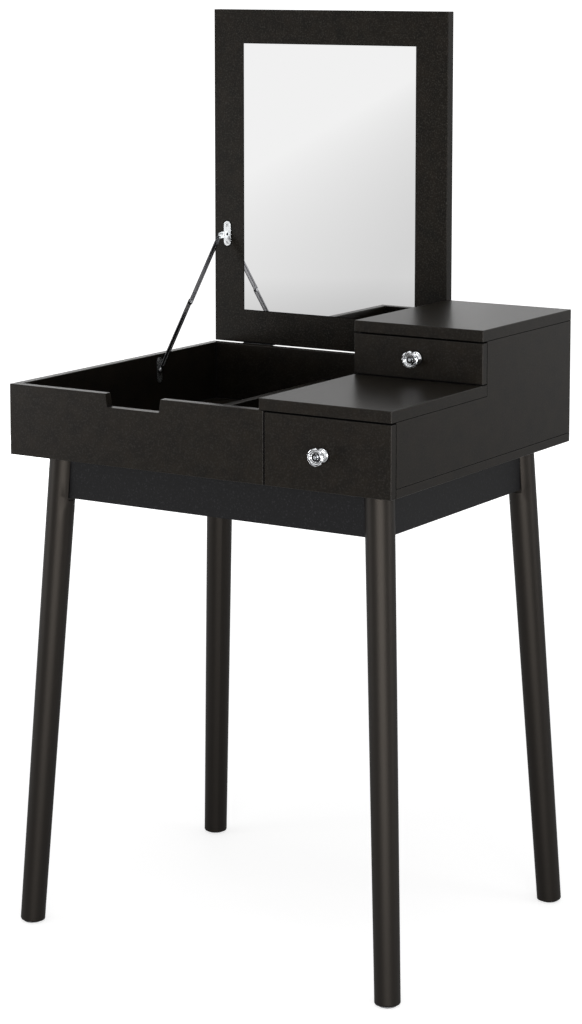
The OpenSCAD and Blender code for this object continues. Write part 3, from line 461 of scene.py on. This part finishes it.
def screw_tree():
    """Geometry nodes: a countersunk screw with a cross recess on every point, along its heading."""
    tree = bpy.data.node_groups.new("cross_head_screws", "GeometryNodeTree")
    sockets = tree.interface
    sockets.new_socket("Geometry", in_out="INPUT", socket_type="NodeSocketGeometry")
    for size in ("Head Radius", "Shank Radius", "Length", "Recess"):
        sockets.new_socket(size, in_out="INPUT", socket_type="NodeSocketFloat")
    sockets.new_socket("Finish", in_out="INPUT", socket_type="NodeSocketMaterial")
    sockets.new_socket("Geometry", in_out="OUTPUT", socket_type="NodeSocketGeometry")
    given = add(tree, "NodeGroupInput").outputs
    head_r, shank_r, length, recess = (given[size] for size in ("Head Radius", "Shank Radius",
                                                                "Length", "Recess"))
    head_h = add(tree, "ShaderNodeMath", {0: head_r, 1: shank_r}, operation="SUBTRACT").outputs["Value"]
    tip_h = add(tree, "ShaderNodeMath",
                {0: shank_r, 1: TIP_BY_SHANK}, operation="MULTIPLY").outputs["Value"]
    shank_h = add(tree, "ShaderNodeMath", {0: length, 1: tip_h}, operation="SUBTRACT").outputs["Value"]
    head = lowered_cone(tree, 32, head_r, shank_r, head_h, head_h)
    shank = lowered_cone(tree, 24, shank_r, shank_r, shank_h, shank_h)
    tip = lowered_cone(tree, 24, shank_r, 0.0, tip_h, length)
    whole = add(tree, "GeometryNodeMeshBoolean", operation="UNION", solver="EXACT")
    for part in (head, shank, tip):
        tree.links.new(part.outputs["Geometry"], whole.inputs["Mesh 2"])
    bar_w = add(tree, "ShaderNodeMath", {0: recess, 1: BAR_WIDTH}, operation="MULTIPLY")
    bar_h = add(tree, "ShaderNodeMath", {0: recess, 1: BAR_HEIGHT}, operation="MULTIPLY")
    bar_size = add(tree, "ShaderNodeCombineXYZ",
                   {"X": recess, "Y": bar_w.outputs["Value"], "Z": bar_h.outputs["Value"]})
    bar = add(tree, "GeometryNodeMeshCube", {"Size": bar_size.outputs["Vector"]})
    crossbar = add(tree, "GeometryNodeTransform",
                   {"Geometry": bar.outputs["Mesh"], "Rotation": (0.0, 0.0, math.pi / 2)})
    screw = add(tree, "GeometryNodeMeshBoolean", {"Mesh 1": whole.outputs["Mesh"]},
                operation="DIFFERENCE", solver="EXACT")
    for part in (bar.outputs["Mesh"], crossbar.outputs["Geometry"]):
        tree.links.new(part, screw.inputs["Mesh 2"])
    heading = add(tree, "GeometryNodeInputNamedAttribute",
                  {"Name": "heading"}, data_type="FLOAT_VECTOR")
    aim = add(tree, "FunctionNodeAlignRotationToVector",
              {"Vector": heading.outputs["Attribute"]}, axis="Z")
    placed = add(tree, "GeometryNodeInstanceOnPoints",
                 {"Points": given["Geometry"], "Instance": screw.outputs["Mesh"],
                  "Rotation": aim.outputs["Rotation"]})
    turn = add(tree, "FunctionNodeRandomValue",
               {"Max": (0.0, 0.0, math.tau), "Seed": TURN_SEED}, data_type="FLOAT_VECTOR")
    turned = add(tree, "GeometryNodeRotateInstances",
                 {"Instances": placed.outputs["Instances"], "Rotation": turn.outputs["Value"]})
    real = add(tree, "GeometryNodeRealizeInstances", {"Geometry": turned.outputs["Instances"]})
    finished = add(tree, "GeometryNodeSetMaterial",
                   {"Geometry": real.outputs["Geometry"], "Material": given["Finish"]})
    add(tree, "NodeGroupOutput", {"Geometry": finished.outputs["Geometry"]})
    return tree


def solids_of(node):
    """The separate solids of a CAD node, each as an array of its points, all in a fixed order."""
    weld_mm = 0.001
    mesh = bmesh.new()
    mesh.from_mesh(NODES[node].data)
    bmesh.ops.remove_doubles(mesh, verts=mesh.verts, dist=weld_mm * MM)
    left = set(mesh.verts)
    solids = []
    while left:
        group = {left.pop()}
        edge = list(group)
        while edge:
            near = {e.other_vert(v) for v in edge for e in v.link_edges} & left
            left -= near
            group |= near
            edge = list(near)
        solids.append(np.array(sorted(v.co[:] for v in group)))
    mesh.free()
    return sorted(solids, key=lambda points: tuple(points.mean(axis=0).round(5)))


def screw_seat(points):
    """Top of the head, heading out of the wood, head radius and length of a screw."""
    centre = points.mean(axis=0)
    offsets = points - centre
    axis = np.linalg.eigh(np.cov(offsets.T))[1][:, 2]
    along = offsets @ axis
    reach = np.linalg.norm(offsets - np.outer(along, axis), axis=1)
    if along[reach.argmax()] < 0:
        axis, along = -axis, -along
    return centre + axis * along.max(), axis, reach.max(), np.ptp(along)


def screws():
    """Puts detailed screws in the place of the CAD's plain ones. Each node's screws have one size."""
    tree = screw_tree()
    sockets = {item.name: item.identifier for item in tree.interface.items_tree if item.in_out == "INPUT"}
    for node, body in (("case_screws", "frame"), ("bracket_screws", "frame"),
                       ("hardware_screws_case", "frame"), ("hardware_screws_lid", "lid")):
        tops, headings, radii, lengths = zip(*[screw_seat(solid) for solid in solids_of(node)])
        points = bpy.data.meshes.new(f"{node}_points")
        points.from_pydata([tuple(top) for top in tops], [], [])
        heading = points.attributes.new("heading", "FLOAT_VECTOR", "POINT")
        for item, way in zip(heading.data, headings):
            item.vector = way
        carrier = bpy.data.objects.new(f"{node}_carrier", points)
        bpy.context.scene.collection.objects.link(carrier)
        modifier = carrier.modifiers.new("screws", "NODES")
        modifier.node_group = tree
        head = float(radii[0])
        for name, value in (("Head Radius", head), ("Shank Radius", SHANK_BY_HEAD * head),
                            ("Length", float(lengths[0])), ("Recess", RECESS_BY_HEAD * head),
                            ("Finish", FINISHES["zinc_steel"])):
            modifier[sockets[name]] = value
        evaluated = carrier.evaluated_get(bpy.context.evaluated_depsgraph_get())
        made = bpy.data.meshes.new_from_object(evaluated)
        carrier.modifiers.clear()
        bpy.data.objects.remove(carrier)
        piece = bpy.data.objects.new(f"{node}_cross_head", made)
        bpy.context.scene.collection.objects.link(piece)
        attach(piece, body)
        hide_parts(node)


# ---- Studio ----

# Area lamps that the camera doesn't see: place, point aimed at, width and height in metres, radiance.
SOFTBOXES = {
    "front_right_softbox": ((1.6, -2.5, 0.5), (0.0, 0.0, 0.4), (2.6, 1.0), 8.6),
    "front_left_softbox": ((-2.4, -1.9, 0.6), (-0.2, 0.0, 0.6), (0.9, 0.9), 4.6),
    "right_softbox": ((3.4, 0.8, 0.6), (0.2, 0.0, 0.5), (1.2, 1.2), 4.2),
    "back_left_softbox": ((-2.2, 3.0, 0.5), (-0.1, 0.0, 0.5), (1.6, 1.0), 3.5),
    "overhead_softbox": ((0.3, -0.6, 3.2), (0.0, 0.0, 0.7), (2.0, 2.0), 1.4),
}


def seen_by(tree, camera, metal_and_glass):
    """One strength for the camera, another for what metal and glass show, and none elsewhere."""
    path = add(tree, "ShaderNodeLightPath")
    mirrored = add(tree, "ShaderNodeMath",
                   {0: path.outputs["Is Glossy Ray"], 1: path.outputs["Is Transmission Ray"]},
                   operation="MAXIMUM")
    shown = add(tree, "ShaderNodeMath",
                {0: mirrored.outputs["Value"], 1: metal_and_glass}, operation="MULTIPLY")
    return add(tree, "ShaderNodeMath",
               {0: path.outputs["Is Camera Ray"], 1: camera, 2: shown.outputs["Value"]},
               operation="MULTIPLY_ADD").outputs["Value"]


def studio_floor():
    """A wide pale floor that reads white and keeps the table's soft shadow.

    Metal and glass see it brighten away from the table, as a cyclorama does where it sweeps up, and
    more on the left. Lengths are in metres from the middle of the table.
    """
    bpy.ops.mesh.primitive_plane_add(size=400)
    floor = bpy.context.object
    floor.name = "floor"
    made, tree = new_material("pale_floor")
    place = add(tree, "ShaderNodeTexCoord").outputs["Object"]
    away = add(tree, "ShaderNodeVectorMath", {0: place}, operation="LENGTH")
    sweep = add(tree, "ShaderNodeMapRange",
                {"Value": away.outputs["Value"], "From Min": 2.5, "From Max": 7.0,
                 "To Min": 0.02, "To Max": 0.45})
    leftward = add(tree, "ShaderNodeVectorMath",
                   {0: place, 1: (-0.90, 0.43, 0.0)}, operation="DOT_PRODUCT")
    left_glow = add(tree, "ShaderNodeMapRange",
                    {"Value": leftward.outputs["Value"], "From Min": 0.7, "From Max": 2.0,
                     "To Max": 0.25})
    mirrored = add(tree, "ShaderNodeMath",
                   {0: sweep.outputs["Result"], 1: left_glow.outputs["Result"]}, operation="ADD")
    lit = add(tree, "ShaderNodeMapRange",
              {"Value": away.outputs["Value"], "From Min": 1.2, "From Max": 3.0,
               "To Min": 0.66, "To Max": 0.95})
    strength = seen_by(tree, lit.outputs["Result"], mirrored.outputs["Value"])
    diffuse = add(tree, "ShaderNodeBsdfDiffuse", {"Color": linear("#d4d4d4")})
    glow = add(tree, "ShaderNodeEmission", {"Color": linear("#ffffff"), "Strength": strength})
    both = add(tree, "ShaderNodeAddShader", {0: diffuse.outputs["BSDF"], 1: glow.outputs["Emission"]})
    add(tree, "ShaderNodeOutputMaterial", {"Surface": both.outputs["Shader"]})
    floor.data.materials.append(made)


def studio_world():
    """A cyclorama: white to the eye, nearly so to metal and glass, and a soft even light elsewhere."""
    light = 0.40
    added_for_camera = 0.60
    added_for_metal_and_glass = 0.55
    world = bpy.data.worlds.new("studio")
    bpy.context.scene.world = world
    world.use_nodes = True
    tree = world.node_tree
    tree.nodes.clear()
    added = seen_by(tree, added_for_camera, added_for_metal_and_glass)
    strength = add(tree, "ShaderNodeMath", {0: added, 1: light}, operation="ADD")
    back = add(tree, "ShaderNodeBackground",
               {"Color": linear("#ffffff"), "Strength": strength.outputs["Value"]})
    add(tree, "ShaderNodeOutputWorld", {"Surface": back.outputs["Background"]})


def studio_lamps():
    """Low softboxes on the front right, front left, right and back left, and one overhead.

    The power of an area lamp is pi times its radiance and its area.
    """
    for name, (place, aim, size, radiance) in SOFTBOXES.items():
        data = bpy.data.lights.new(name, "AREA")
        data.shape = "RECTANGLE"
        data.size, data.size_y = size
        data.energy = radiance * math.pi * size[0] * size[1]
        lamp = bpy.data.objects.new(name, data)
        lamp.location = place
        lamp.rotation_euler = (Vector(aim) - Vector(place)).to_track_quat("-Z", "Y").to_euler()
        lamp.visible_camera = False
        bpy.context.scene.collection.objects.link(lamp)


def photo_camera():
    """The photograph's viewing angle: a long lens, a little above the lid, from the front right."""
    focal_px = 2654.6
    photo_height_px = 1024
    tilt_down_degrees = 7.121
    turn_left_degrees = 32.311
    data = bpy.data.cameras.new("camera")
    data.sensor_width = 36.0
    data.lens = focal_px / photo_height_px * data.sensor_width
    data.shift_y = -0.21
    camera = bpy.data.objects.new("camera", data)
    camera.location = (1.8649, -2.9542, 1.2803)
    camera.rotation_euler = Euler((math.radians(90 - tilt_down_degrees), 0.0,
                                   math.radians(turn_left_degrees)))
    bpy.context.scene.collection.objects.link(camera)
    bpy.context.scene.camera = camera


dress_cad_nodes()
cut_crystals()
screws()
studio_floor()
studio_world()
studio_lamps()
photo_camera()
bpy.context.scene.view_settings.view_transform = "Standard"
bpy.context.view_layer.update()
